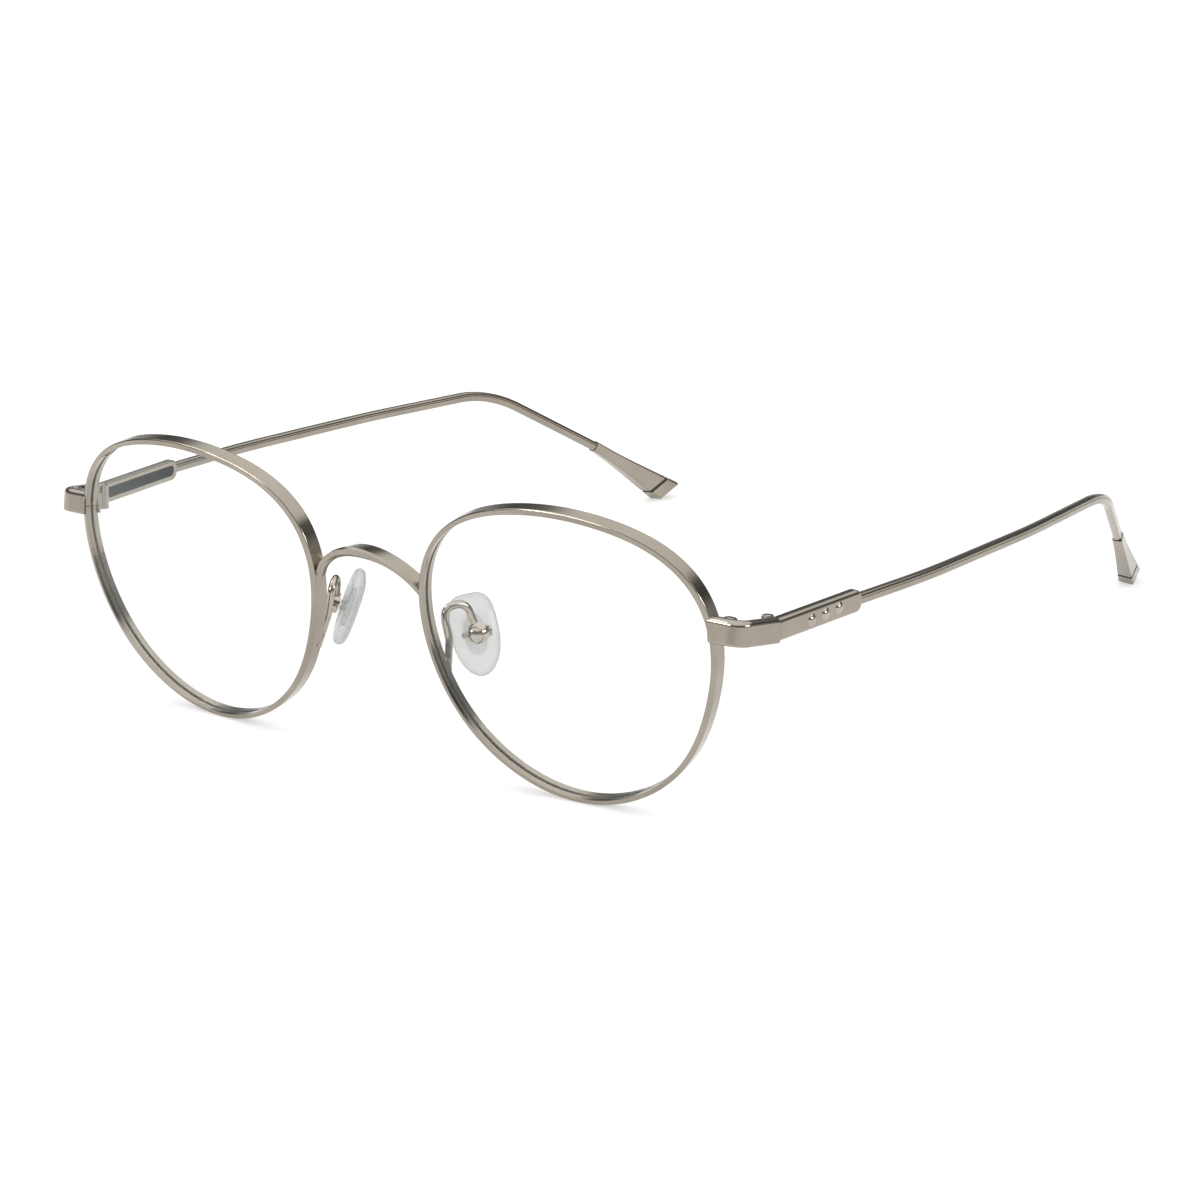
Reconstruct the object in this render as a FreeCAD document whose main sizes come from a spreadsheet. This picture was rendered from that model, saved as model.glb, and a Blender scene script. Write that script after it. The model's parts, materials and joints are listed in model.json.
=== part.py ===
"""Round wire eyeglasses, 48-21-150, as separate pieces with working hinges.

Millimetres. +X is the wearer's left, +Y runs back along the temples, +Z is up. The frame
stands on its rims and temple tips, and the origin is the middle of its footprint.
Every piece is built for the left side, and its twin is mirrored across X = 0.
"""
import FreeCAD, Part
import math
import os
import Sketcher
from FreeCAD import Placement, Rotation, Vector

SIZES = {
    # where the frames of reference stand
    "front_setback": (-78.1, "lens plane apex, from the middle of the footprint"),
    "front_height": (23.03, "eye centre above the table"),
    "front_tilt": (8.7, "degrees the lens plane leans, top forward"),
    "eye_offset": (34.45, "eye centre from the middle"),
    "eye_wrap": (3.84, "degrees each eye turns back towards the temple"),
    "base_sphere": (77.5, "radius of the rim's front sphere"),
    # rim and lens
    "eye_radius": (23.875, "mean outer radius of the rim"),
    "rim_depth": (2.41, "rim front to back"),
    "rim_wall": (0.82, "rim thickness across the band"),
    "rim_edge_round": (0.22, "rounding of the rim's outer edges"),
    "groove_front": (0.9, "groove's front wall behind the rim's front"),
    "groove_width": (0.6, "groove front to back"),
    "groove_depth": (0.3, "groove into the band"),
    "rim_split": (0.15, "gap at the rim's closing block"),
    "lens_front": (0.55, "lens front behind the rim's front"),
    "lens_thickness": (1.2, "lens thickness"),
    "lens_play": (0.03, "clearance round the lens"),
    # bridge
    "bridge_half_span": (10.3, "bridge half length before it is trimmed to the rims"),
    # endpiece strap
    "strap_start": (57.2, "strap's nasal end"),
    "strap_front": (4.1, "strap's front face"),
    "strap_mid_height": (8.25, "middle of the strap at its front face"),
    "strap_slope": (8.8, "degrees the strap drops towards the hinge"),
    "strap_lead": (1.4, "strap's run ahead of its start, before it is trimmed"),
    "strap_reach": (6.1, "strap's front run, to the outside of its corner"),
    "strap_bow": (0.1, "how far back the strap's front face falls by its corner"),
    "strap_run": (10.6, "strap's side run before it is trimmed"),
    "strap_flare": (0.095, "outward lean of the side run"),
    "strap_thickness": (1.1, "strap thickness"),
    "strap_height": (3.7, "strap height"),
    "strap_corner": (2.8, "outer corner radius"),
    "strap_top_round": (0.85, "rounding of the top outer edge"),
    "strap_low_round": (0.4, "rounding of the bottom outer edge"),
    "strap_lip": (0.65, "how far the strap laps over the rim's front"),
    # closing block and its screw
    "lock_side": (0.15, "closing block's nasal side, from the strap's start"),
    "lock_width": (4.0, "closing block across"),
    "lock_depth": (2.5, "closing block front to back"),
    "lock_split": (-0.5, "height of the split, from the strap's middle line"),
    "lock_half_gap": (0.09, "half the gap between the block's halves"),
    "lock_upper_height": (1.85, "upper half's height"),
    "lock_lower_height": (1.1, "lower half's height"),
    "rim_screw_side": (2.75, "rim screw's axis, from the strap's start"),
    "rim_screw_back": (2.25, "rim screw's axis behind the strap's front face"),
    "rim_screw_radius": (0.6, "rim screw shank"),
    "rim_screw_head": (1.0, "rim screw head radius"),
    "rim_screw_head_height": (0.55, "rim screw head height"),
    "rim_screw_length": (2.85, "rim screw shank length"),
    "screw_play": (0.03, "radial clearance round each screw"),
    "screw_slot": (0.3, "driver slot width"),
    "screw_slot_depth": (0.25, "driver slot depth"),
    "screw_crown": (0.35, "share of each screw head's height that is domed"),
    "screw_chamfer": (0.1, "chamfer at each screw's end"),
    # hinge
    "hinge_side": (62.0, "hinge axis from the middle"),
    "hinge_back": (13.0, "hinge axis behind the lens plane apex"),
    "hinge_height": (6.7, "middle knuckle above the eye centre"),
    "temple_drop": (2.25, "degrees the temple slopes down going back"),
    "split_gap": (0.05, "half the gap between strap and temple plate"),
    "knuckle_radius": (0.95, "knuckle radius"),
    "knuckle_stack": (3.7, "height of the three knuckles"),
    "middle_knuckle": (1.0, "height of the middle knuckle"),
    "knuckle_play": (0.03, "clearance above and below the middle knuckle"),
    "knuckle_relief": (0.1, "radial clearance round the knuckles"),
    "neck_side": (0.2, "hinge neck's inner face, from the hinge axis"),
    "neck_width": (1.1, "hinge neck across"),
    "neck_length": (0.85, "hinge neck front to back"),
    "leaf_length": (3.7, "front leaf's length"),
    "leaf_height": (3.0, "front leaf's height"),
    "leaf_thickness": (1.6, "front leaf's thickness before the strap is taken away"),
    "leaf_side": (4.5, "front leaf's inner face, from the strap's start"),
    "leaf_start": (5.2, "front leaf's front end behind the strap's front face"),
    "hinge_screw_radius": (0.5, "hinge screw shank"),
    "hinge_screw_head": (0.8, "hinge screw head radius"),
    "hinge_screw_head_height": (0.4, "hinge screw head height"),
    # temple plate
    "plate_yaw": (4.76, "degrees the plate turns outward going back"),
    "plate_rise": (1.6, "degrees the plate rises against the temple's slope"),
    "plate_side": (2.1, "plate's outer face, outward of the hinge axis"),
    "plate_lift": (0.15, "plate's middle line above the middle knuckle"),
    "plate_length": (20.0, "plate length"),
    "plate_lead": (0.5, "plate's front end ahead of the hinge, before it is trimmed"),
    "plate_thickness": (1.7, "plate thickness"),
    "plate_height": (3.4, "plate height"),
    "plate_top_round": (0.75, "rounding of the plate's top outer edge"),
    "plate_edge_round": (0.3, "rounding of its other long edges"),
    "plate_end_round": (1.35, "rounding of its rear corners"),
    "tongue_setback": (1.05, "hinge tongue's inner face, from the plate's outer face"),
    "tongue_thickness": (0.6, "hinge tongue's thickness"),
    "tongue_length": (6.5, "hinge tongue's length"),
    "tongue_height": (2.4, "hinge tongue's height"),
    "inlay_start": (1.15, "inlay's front end"),
    "inlay_length": (17.9, "inlay's length"),
    "inlay_height": (1.75, "inlay's height"),
    "inlay_depth": (0.25, "recess depth"),
    "inlay_sink": (0.05, "inlay surface below the plate's face"),
    "rivet_first": (7.5, "first rivet behind the hinge"),
    "rivet_pitch": (3.27, "rivet spacing"),
    "rivet_drop": (0.1, "first rivet below the plate's middle line"),
    "rivet_climb": (0.15, "each next rivet is this much higher"),
    "rivet_radius": (0.92, "rivet head radius"),
    "rivet_dome": (0.45, "rivet head height"),
    "rivet_shank": (0.4, "rivet shank radius"),
    "rivet_depth": (0.8, "rivet shank length"),
    # temple wire and tip
    "wire_height": (1.7, "wire height"),
    "wire_thickness": (1.45, "wire thickness"),
    "wire_corner": (0.5, "wire's corner radius"),
    "bend_radius": (28.0, "radius of the bend behind the ear"),
    "sweep_radius": (180.0, "radius of the wire's two gentle bends"),
    "tip_yaw": (18.4, "degrees the tip turns inward"),
    "tip_pitch": (34.1, "degrees the tip drops"),
    "tip_slant": (28.5, "degrees of slant of the tip's end cut"),
    "paddle_length": (17.0, "paddle along its axis"),
    "gasket_length": (0.7, "gasket along the axis"),
    "cap_length": (2.6, "cap along the axis"),
    "gasket_inset": (0.12, "gasket below the tip's surface"),
    "peg_radius": (0.5, "cap's peg"),
    "peg_bite": (1.6, "peg length inside the paddle"),
    "peg_root": (0.8, "peg length inside the cap"),
    "peg_end_play": (0.05, "gap at the peg's end"),
    "peg_play": (0.02, "radial clearance of the peg"),
    # reaches that only have to clear the work
    "bore_reach": (6.0, "each bore tool's reach, either way"),
    "trim_reach": (8.0, "each trimming block's reach, either way"),
    # nose pad group
    "pad_half_width": (3.75, "pad half width"),
    "pad_half_length": (6.3, "pad half length"),
    "pad_thickness": (2.2, "pad thickness"),
    "pad_gap": (1.35, "pad's back face from the pad screw's axis"),
    "pad_round": (0.9, "rounding of the pad's edges"),
    "pad_drop": (0.1, "pad's middle below the pad screw"),
    "arm_radius": (0.6, "pad arm radius"),
    "cup_radius": (1.6, "pad box radius"),
    "cup_wall": (0.35, "pad box wall"),
    "cup_depth": (1.4, "pad box's dome behind the screw's axis"),
    "cup_lip": (0.6, "pad box's rim in front of the screw's axis"),
    "cup_hollow": (0.8, "pad box's hollow behind the screw's axis"),
    "cup_flat": (0.2, "radius of the flat on the pad box's dome"),
    "boss_radius": (0.72, "pad boss radius"),
    "boss_half_width": (0.85, "pad boss half width"),
    "boss_half_neck": (0.5, "half height of the boss's neck"),
    "core_half_width": (1.6, "core plate half width"),
    "core_half_length": (3.2, "core plate half length"),
    "core_thickness": (0.6, "core plate thickness"),
    "core_sink": (0.6, "pad material behind the core plate"),
    "pad_screw_radius": (0.4, "pad screw shank"),
    "pad_screw_head": (0.75, "pad screw head radius"),
    "pad_screw_head_height": (0.6, "pad screw head height"),
    "pad_screw_reach": (4.0, "pad screw shank length"),
}

# The rim's outline in polar form about the eye centre: mean radius plus these harmonics,
# as (cosine, sine) amounts in mm. The angle runs from the temple side upward.
EYE_HARMONICS = {
    2: (0.804, -0.080),
    3: (0.0, 1.017),
    4: (-0.239, 0.013),
    5: (0.0, 0.097),
    6: (-0.104, 0.011),
}
OUTLINE_STEPS = 48

doc = FreeCAD.newDocument("RoundWireEyeglasses")


def write_sheet():
    """Put every driving size in the spreadsheet, with its alias and meaning."""
    sizes = doc.addObject("Spreadsheet::Sheet", "Sizes")
    for row, (alias, (number, meaning)) in enumerate(SIZES.items(), start=1):
        sizes.set("A%d" % row, alias)
        sizes.set("B%d" % row, str(number))
        sizes.set("C%d" % row, meaning)
        sizes.setAlias("B%d" % row, alias)
    doc.recompute()
    return sizes


sheet = write_sheet()
left_nodes = {}


def size(alias):
    return float(sheet.get(alias))


def shift(x=0.0, y=0.0, z=0.0):
    return Placement(Vector(x, y, z), Rotation())


def turn(axis, degrees):
    return Placement(Vector(), Rotation(axis, degrees))


X_AXIS = Vector(1, 0, 0)
Y_AXIS = Vector(0, 1, 0)
Z_AXIS = Vector(0, 0, 1)

# Frames of reference. The front frame is level with the eye centres.
LEVEL = shift(0, size("front_setback"), size("front_height"))
FRONT = LEVEL * turn(X_AXIS, size("front_tilt"))
EYE = FRONT * shift(size("eye_offset")) * turn(Z_AXIS, size("eye_wrap"))
SPHERE_CENTRE = EYE * shift(0, size("base_sphere"))
STRAP = (
    LEVEL
    * shift(size("strap_start"), size("strap_front"), size("strap_mid_height"))
    * turn(X_AXIS, -size("strap_slope"))
)
HINGE = (
    LEVEL
    * shift(size("hinge_side"), size("hinge_back"), size("hinge_height"))
    * turn(X_AXIS, -size("temple_drop"))
)
PLATE = (
    HINGE
    * shift(x=size("plate_side"), z=size("plate_lift"))
    * turn(Z_AXIS, -size("plate_yaw"))
    * turn(X_AXIS, size("plate_rise"))
)
# The temple wire's corners in the hinge frame: plate end, two gentle bends, ear bend, tip.
WIRE_CORNERS = [
    Vector(2.7, 17.0, 0.78),
    Vector(3.95, 38.0, 0.85),
    Vector(3.1, 72.0, 0.85),
    Vector(0.4, 103.2, 0.72),
    Vector(-7.7, 126.1, -12.1),
]
TIP = (
    Placement(HINGE.multVec(WIRE_CORNERS[-1]), Rotation())
    * turn(Z_AXIS, size("tip_yaw"))
    * turn(X_AXIS, -size("tip_pitch"))
)
# The pad box stands behind the nasal side of the rim; its Y looks at the nose.
PAD_BOX_AT = Vector(13.5, 10.9, -1.9)
PAD_TURN = 48.0
PAD_LEAN = 8.0
PAD_TIP = 19.0
BOX = (
    Placement(LEVEL.multVec(PAD_BOX_AT), Rotation())
    * turn(Z_AXIS, PAD_TURN)
    * turn(X_AXIS, -PAD_TIP)
    * turn(Y_AXIS, -PAD_LEAN)
)


# ---- building blocks ---------------------------------------------------------------


def bind(obj, **expressions):
    for prop, expression in expressions.items():
        obj.setExpression(prop, expression)
    return obj


def primitive(kind, name, frame, **expressions):
    """A Part primitive whose sizes follow the sheet."""
    obj = doc.addObject("Part::" + kind, name)
    obj.Placement = frame
    return bind(obj, **expressions)


def cylinder(name, frame, radius, height, low):
    """A cylinder along the frame's Z, from the height low upward."""
    return primitive("Cylinder", name, frame * shift(z=low), Radius=radius, Height=height)


def through_bore(name, frame, radius):
    """A boring tool along the frame's Z that passes through the work."""
    return cylinder(name, frame, radius, "2 * Sizes.bore_reach", -size("bore_reach"))


def block(name, frame, corner, lengths):
    """A box from its low corner; each length is a number or a sheet expression."""
    obj = doc.addObject("Part::Box", name)
    obj.Placement = frame * shift(*corner)
    for prop, length in zip(("Length", "Width", "Height"), lengths):
        if isinstance(length, str):
            obj.setExpression(prop, length)
        else:
            setattr(obj, prop, length)
    return obj


def trim_ahead(name, frame, end):
    """A block of everything near the frame ahead of a distance along its Y."""
    reach = size("trim_reach")
    whole = "2 * Sizes.trim_reach"
    return block(name, frame, (-reach, end - 2 * reach, -reach), (whole, whole, whole))


def trim_behind(name, frame, start):
    """A block of everything near the frame behind a distance along its Y."""
    reach = size("trim_reach")
    whole = "2 * Sizes.trim_reach"
    return block(name, frame, (-reach, start, -reach), (whole, whole, whole))


def cut(name, base, *tools):
    """Take each tool away from the base in turn."""
    for number, tool in enumerate(tools):
        last = number == len(tools) - 1
        obj = doc.addObject("Part::Cut", name if last else "%s_cut%d" % (name, number))
        obj.Base = base
        obj.Tool = tool
        base = obj
    return base


def common(name, base, tool):
    obj = doc.addObject("Part::Common", name)
    obj.Base = base
    obj.Tool = tool
    return obj


def fuse(name, *shapes):
    obj = doc.addObject("Part::MultiFuse", name)
    obj.Shapes = list(shapes)
    obj.Refine = True
    return obj


def curve_object(name, shape, frame):
    """A wire that a sweep, loft or extrusion uses."""
    obj = doc.addObject("Part::Feature", name)
    obj.Shape = shape
    obj.Placement = frame
    return obj


def new_body(name, frame):
    body = doc.addObject("PartDesign::Body", name)
    body.Placement = frame
    return body


def new_sketch(body, name, role, offset=0.0):
    """A sketch on one of the body's own origin planes, moved along that plane's normal."""
    sketch = body.newObject("Sketcher::SketchObject", name)
    plane = next(item for item in body.Origin.OriginFeatures if item.Role == role)
    sketch.AttachmentSupport = [(plane, "")]
    sketch.MapMode = "FlatFace"
    sketch.AttachmentOffset = shift(z=offset)
    return sketch


def closed_outline(sketch, corners):
    """A closed outline of straight lines through the corners."""
    for start, end in zip(corners, corners[1:] + corners[:1]):
        sketch.addGeometry(Part.LineSegment(Vector(*start, 0), Vector(*end, 0)))
    count = len(corners)
    for index in range(count):
        sketch.addConstraint(Sketcher.Constraint("Coincident", index, 2, (index + 1) % count, 1))


def bound_rectangle(sketch, width, height):
    """A rectangle about the sketch's origin; width and height are sheet expressions."""
    closed_outline(sketch, [(-1, -1), (1, -1), (1, 1), (-1, 1)])
    for line in (0, 2):
        sketch.addConstraint(Sketcher.Constraint("Horizontal", line))
    for line in (1, 3):
        sketch.addConstraint(Sketcher.Constraint("Vertical", line))
    wide = sketch.addConstraint(Sketcher.Constraint("DistanceX", 0, 1, 0, 2, 2.0))
    high = sketch.addConstraint(Sketcher.Constraint("DistanceY", 1, 1, 1, 2, 2.0))
    sketch.setExpression("Constraints[%d]" % wide, width)
    sketch.setExpression("Constraints[%d]" % high, height)
    left = sketch.addConstraint(Sketcher.Constraint("DistanceX", -1, 1, 0, 1, -1.0))
    low = sketch.addConstraint(Sketcher.Constraint("DistanceY", -1, 1, 0, 1, -1.0))
    sketch.setExpression("Constraints[%d]" % left, "-(%s) / 2" % width)
    sketch.setExpression("Constraints[%d]" % low, "-(%s) / 2" % height)


def bound_circle(sketch, radius):
    """A circle about the sketch's origin; the radius is a sheet expression."""
    sketch.addGeometry(Part.Circle(Vector(), Z_AXIS, 1.0))
    sketch.addConstraint(Sketcher.Constraint("Coincident", 0, 3, -1, 1))
    index = sketch.addConstraint(Sketcher.Constraint("Radius", 0, 1.0))
    sketch.setExpression("Constraints[%d]" % index, radius)


def pad(body, name, sketch, length, symmetric=True, backward=False):
    feature = body.newObject("PartDesign::Pad", name)
    feature.Profile = sketch
    feature.SideType = "Symmetric" if symmetric else "One side"
    feature.Reversed = backward
    feature.setExpression("Length", length)
    return feature


def pocket(body, name, sketch, length, symmetric=True, backward=False):
    feature = body.newObject("PartDesign::Pocket", name)
    feature.Profile = sketch
    feature.SideType = "Symmetric" if symmetric else "One side"
    feature.Reversed = backward
    feature.setExpression("Length", length)
    return feature


def revolve(body, name, sketch, axis="V_Axis"):
    feature = body.newObject("PartDesign::Revolution", name)
    feature.Profile = sketch
    feature.ReferenceAxis = (sketch, [axis])
    feature.Angle = 360
    return feature


def edge_names(shape, wanted):
    return ["Edge%d" % n for n, edge in enumerate(shape.Edges, start=1) if wanted(edge)]


def body_fillet(body, name, base, wanted, radius):
    """Round the edges of the body's last feature that pass the test, in the body's frame."""
    doc.recompute()
    feature = body.newObject("PartDesign::Fillet", name)
    feature.Base = (base, edge_names(base.Shape, wanted))
    feature.setExpression("Radius", radius)
    doc.recompute()
    return feature


def edge_middle(edge):
    return edge.valueAt((edge.FirstParameter + edge.LastParameter) / 2)


def runs_along(edge, axis, tolerance=0.2):
    """Whether the edge's ends lie along the axis from each other."""
    if len(edge.Vertexes) < 2:
        return False
    span = edge.Vertexes[1].Point - edge.Vertexes[0].Point
    if span.Length < 1e-6:
        return False
    return abs(span.dot(axis)) / span.Length > 1 - tolerance


def rounded_path(corners, radii):
    """Straight runs joined by tangent arcs, one radius for each inner corner."""
    edges = []
    start = corners[0]
    for before, corner, after, radius in zip(corners, corners[1:], corners[2:], radii):
        inward = (corner - before).normalize()
        outward = (after - corner).normalize()
        half_turn = inward.getAngle(outward) / 2
        reach = radius * math.tan(half_turn)
        arc_start = corner - inward * reach
        arc_end = corner + outward * reach
        towards = (outward - inward).normalize()
        crown = corner + towards * (radius / math.cos(half_turn) - radius)
        edges.append(Part.LineSegment(start, arc_start).toShape())
        edges.append(Part.Arc(arc_start, crown, arc_end).toShape())
        start = arc_end
    edges.append(Part.LineSegment(start, corners[-1]).toShape())
    return Part.Wire(edges)


def rounded_polygon(corners, radius):
    """A closed wire of lines and corner arcs through 3-D corners in one plane."""
    edges = []
    count = len(corners)
    arcs = []
    for index in range(count):
        corner = corners[index]
        inward = (corner - corners[index - 1]).normalize()
        outward = (corners[(index + 1) % count] - corner).normalize()
        half_turn = inward.getAngle(outward) / 2
        reach = radius * math.tan(half_turn)
        towards = (outward - inward).normalize()
        crown = corner + towards * (radius / math.cos(half_turn) - radius)
        arcs.append((corner - inward * reach, crown, corner + outward * reach))
    for index, (arc_start, crown, arc_end) in enumerate(arcs):
        edges.append(Part.Arc(arc_start, crown, arc_end).toShape())
        edges.append(Part.LineSegment(arc_end, arcs[(index + 1) % count][0]).toShape())
    return Part.Wire(edges)


def sweep(name, section, path):
    obj = doc.addObject("Part::Sweep", name)
    obj.Sections = [section]
    obj.Spine = (path, [])
    obj.Solid = True
    obj.Frenet = False
    return obj


def loft(name, sections):
    obj = doc.addObject("Part::Loft", name)
    obj.Sections = sections
    obj.Solid = True
    obj.Ruled = False
    return obj


def node(name, obj):
    """Keep a finished left-hand piece under its name."""
    obj.Label = name + "_left"
    left_nodes[name] = obj
    return obj


# ---- rim and lens ------------------------------------------------------------------


def eye_reach(angle):
    """The rim's outer radius at an angle from the temple side."""
    reach = size("eye_radius")
    for order, (cosine, sine) in EYE_HARMONICS.items():
        reach += cosine * math.cos(order * angle) + sine * math.sin(order * angle)
    return reach


def eye_prism(name, inset, thickness=9.0, start=-1.5):
    """The eye's outline, moved in by the inset, as a prism along the line of sight."""
    points = []
    for step in range(OUTLINE_STEPS):
        angle = 2 * math.pi * step / OUTLINE_STEPS
        reach = eye_reach(angle) - inset
        points.append(Vector(reach * math.cos(angle), start, reach * math.sin(angle)))
    curve = Part.BSplineCurve()
    curve.interpolate(Points=points, PeriodicFlag=True)
    outline = curve_object(name + "_outline", Part.Wire(curve.toShape()), EYE)
    prism = doc.addObject("Part::Extrusion", name)
    prism.Base = outline
    prism.DirMode = "Custom"
    prism.Dir = EYE.Rotation.multVec(Y_AXIS)
    prism.LengthFwd = thickness
    prism.Solid = True
    return prism


def shell(name, front, thickness):
    """The layer between two spheres about the eye's centre of curvature."""
    outer = primitive("Sphere", name + "_outer", SPHERE_CENTRE, Radius=front)
    inner = primitive(
        "Sphere", name + "_inner", SPHERE_CENTRE, Radius="(%s) - (%s)" % (front, thickness)
    )
    return cut(name, outer, inner)


def make_eye_tools():
    """The eye's whole prism and the rim's disc in it, which trim the pieces that meet the rim."""
    prism = eye_prism("eye_disc_prism", 0.0, thickness=14.0)
    rim_shell = shell("rim_shell", "Sizes.base_sphere", "Sizes.rim_depth")
    return prism, common("eye_disc", prism, rim_shell)


def make_rim(eye_disc):
    wall = size("rim_wall")
    ring = cut("rim_ring", eye_disc, eye_prism("rim_bore", wall))
    doc.recompute()
    outer_edges = []
    for number, edge in enumerate(ring.Shape.Edges, start=1):
        middle = EYE.inverse().multVec(edge_middle(edge))
        angle = math.atan2(middle.z, middle.x)
        on_outside = math.hypot(middle.x, middle.z) > eye_reach(angle) - wall / 2
        if on_outside and edge.Length > size("eye_radius"):
            outer_edges.append((number, size("rim_edge_round"), size("rim_edge_round")))
    rounded = doc.addObject("Part::Fillet", "rim_rounded")
    rounded.Base = ring
    rounded.Edges = outer_edges
    groove_shell = shell(
        "groove_shell", "Sizes.base_sphere - Sizes.groove_front", "Sizes.groove_width"
    )
    groove_prism = eye_prism("groove_prism", wall - size("groove_depth"))
    groove = common("rim_groove", groove_prism, groove_shell)
    reach = size("trim_reach")
    split = block(
        "rim_split",
        STRAP,
        (-reach, -reach, size("lock_split") - size("rim_split") / 2),
        ("2 * Sizes.trim_reach", "2 * Sizes.trim_reach", "Sizes.rim_split"),
    )
    node("rim", cut("rim_left", rounded, groove, split))


def make_lens():
    wall = size("rim_wall")
    play = size("lens_play")
    body_shell = shell(
        "lens_shell", "Sizes.base_sphere - Sizes.lens_front", "Sizes.lens_thickness"
    )
    disc = common("lens_disc", eye_prism("lens_prism", wall + play), body_shell)
    bevel_shell = shell(
        "bevel_shell",
        "Sizes.base_sphere - Sizes.groove_front - Sizes.lens_play",
        "Sizes.groove_width - 2 * Sizes.lens_play",
    )
    bevel_prism = eye_prism("bevel_prism", wall - size("groove_depth") + play)
    bevel = common("lens_bevel", bevel_prism, bevel_shell)
    node("lens", fuse("lens_left", disc, bevel))


# ---- bridge ------------------------------------------------------------------------

# The bridge's three long edges, as (backward, upward) coordinates that are even
# polynomials in the distance from the middle, measured in tens of mm.
BRIDGE_BOTTOM = ((0.71, 2.24), (9.76, -3.68, -2.09))
BRIDGE_FRONT = ((-0.89, 3.11), (11.58, -5.79, 0.5))
BRIDGE_BACK = ((2.57, 2.62, -1.4), (11.34, -5.22, 0.77))
BRIDGE_STATIONS = 13
# The bevel between the top and the front, as shares of the section's width and height.
BEVEL_WIDTH = 0.14
BEVEL_DROP = 0.16
BEVEL_TUCK = 0.35


def even_polynomial(amounts, x):
    return sum(amount * (x / 10) ** (2 * power) for power, amount in enumerate(amounts))


def bridge_edge(edge, x):
    backward, upward = edge
    return Vector(x, even_polynomial(backward, x), even_polynomial(upward, x))


def bridge_section(x):
    """Half-round below a flat top, with a bevel between the top and the front."""
    bottom = bridge_edge(BRIDGE_BOTTOM, x)
    front = bridge_edge(BRIDGE_FRONT, x)
    back = bridge_edge(BRIDGE_BACK, x)
    bevel = (back - front) * BEVEL_WIDTH
    top_front = front + bevel
    face_front = front + (bottom - front) * BEVEL_DROP - bevel * BEVEL_TUCK
    return Part.Wire(
        [
            Part.LineSegment(back, top_front).toShape(),
            Part.LineSegment(top_front, face_front).toShape(),
            Part.Arc(face_front, bottom, back).toShape(),
        ]
    )


def make_bridge(eye_outline):
    span = size("bridge_half_span")
    sections = []
    for number in range(BRIDGE_STATIONS):
        x = -span + 2 * span * number / (BRIDGE_STATIONS - 1)
        sections.append(curve_object("bridge_section%d" % number, bridge_section(x), LEVEL))
    bar = loft("bridge_bar", sections)
    bridge = cut("bridge", bar, eye_outline, mirror("eye_outline_right", eye_outline))
    bridge.Label = "bridge"
    return bridge


# ---- endpiece, closing block and rim screw ----------------------------------------


def make_endpiece(eye_disc):
    reach = size("strap_reach")
    thick = size("strap_thickness")
    run = size("strap_run")
    flare = size("strap_flare")
    lead = -size("strap_lead")
    outer_end = (reach + flare * run, run)
    inner_end = (outer_end[0] - thick, run)
    bow = size("strap_bow")
    inner_corner = (reach - thick + flare * thick, thick + bow)
    body = new_body("endpiece_blank", STRAP)
    sketch = new_sketch(body, "endpiece_plan", "XY_Plane")
    closed_outline(
        sketch,
        [
            (lead, 0.0),
            (reach, bow),
            outer_end,
            inner_end,
            inner_corner,
            (lead, thick),
        ],
    )
    strap = pad(body, "endpiece_strap", sketch, "Sizes.strap_height")
    corner = Vector(reach, bow, 0)

    def at_outer_corner(edge):
        return runs_along(edge, Z_AXIS, 0.01) and (edge_middle(edge) - corner).Length < 0.1

    bend = body_fillet(body, "endpiece_bend", strap, at_outer_corner, "Sizes.strap_corner")
    inner = Vector(*inner_corner, 0)

    def at_inner_corner(edge):
        return runs_along(edge, Z_AXIS, 0.01) and (edge_middle(edge) - inner).Length < 0.1

    inner_round = "Sizes.strap_corner - Sizes.strap_thickness"
    bend = body_fillet(body, "endpiece_inside", bend, at_inner_corner, inner_round)
    half = size("strap_height") / 2

    def outside(edge, height):
        middle = edge_middle(edge)
        if abs(middle.z - height) > 0.01 or edge.Length < 0.5:
            return False
        on_front = middle.y < 0.2 and middle.x > lead + 0.2
        on_side = middle.x > reach - 0.2 + flare * middle.y and middle.y < run - 0.1
        on_bend = (middle - Vector(reach, bow, height)).Length < size("strap_corner") / 2
        return on_front or on_side or on_bend

    top = body_fillet(
        body, "endpiece_top", bend, lambda edge: outside(edge, half), "Sizes.strap_top_round"
    )
    body_fillet(
        body, "endpiece_low", top, lambda edge: outside(edge, -half), "Sizes.strap_low_round"
    )
    rear = rear_trim("endpiece_rear")
    lens_side = eye_prism("endpiece_lens_side", size("strap_lip"), start=-4.0)
    node("endpiece", cut("endpiece_left", body, eye_disc, rear, lens_side))


def rear_trim(name):
    """Everything behind the front's rear face at the hinge."""
    return trim_behind(name, HINGE, -size("split_gap"))


def make_rim_lock(eye_disc, endpiece):
    """The two halves of the closing block, bored for the rim screw."""
    split = size("lock_split")
    gap = size("lock_half_gap")
    halves = {
        "upper": (split + gap, "Sizes.lock_upper_height"),
        "lower": (split - gap - size("lock_lower_height"), "Sizes.lock_lower_height"),
    }
    radius = "Sizes.rim_screw_radius + Sizes.screw_play"
    bore = through_bore("rim_lock_bore", RIM_SCREW, radius)
    for half, (low, height) in halves.items():
        blank = block(
            "rim_lock_%s_blank" % half,
            STRAP,
            (size("lock_side"), size("strap_thickness"), low),
            ("Sizes.lock_width", "Sizes.lock_depth", height),
        )
        node("rim_lock_" + half, cut("rim_lock_%s_left" % half, blank, eye_disc, endpiece, bore))


def cap_height(radius, rise, reach):
    """Height of a ball-shaped cap above its edge, at a distance from its axis."""
    ball = (radius**2 + rise**2) / (2 * rise)
    return math.sqrt(ball**2 - reach**2) - (ball - rise)


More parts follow.
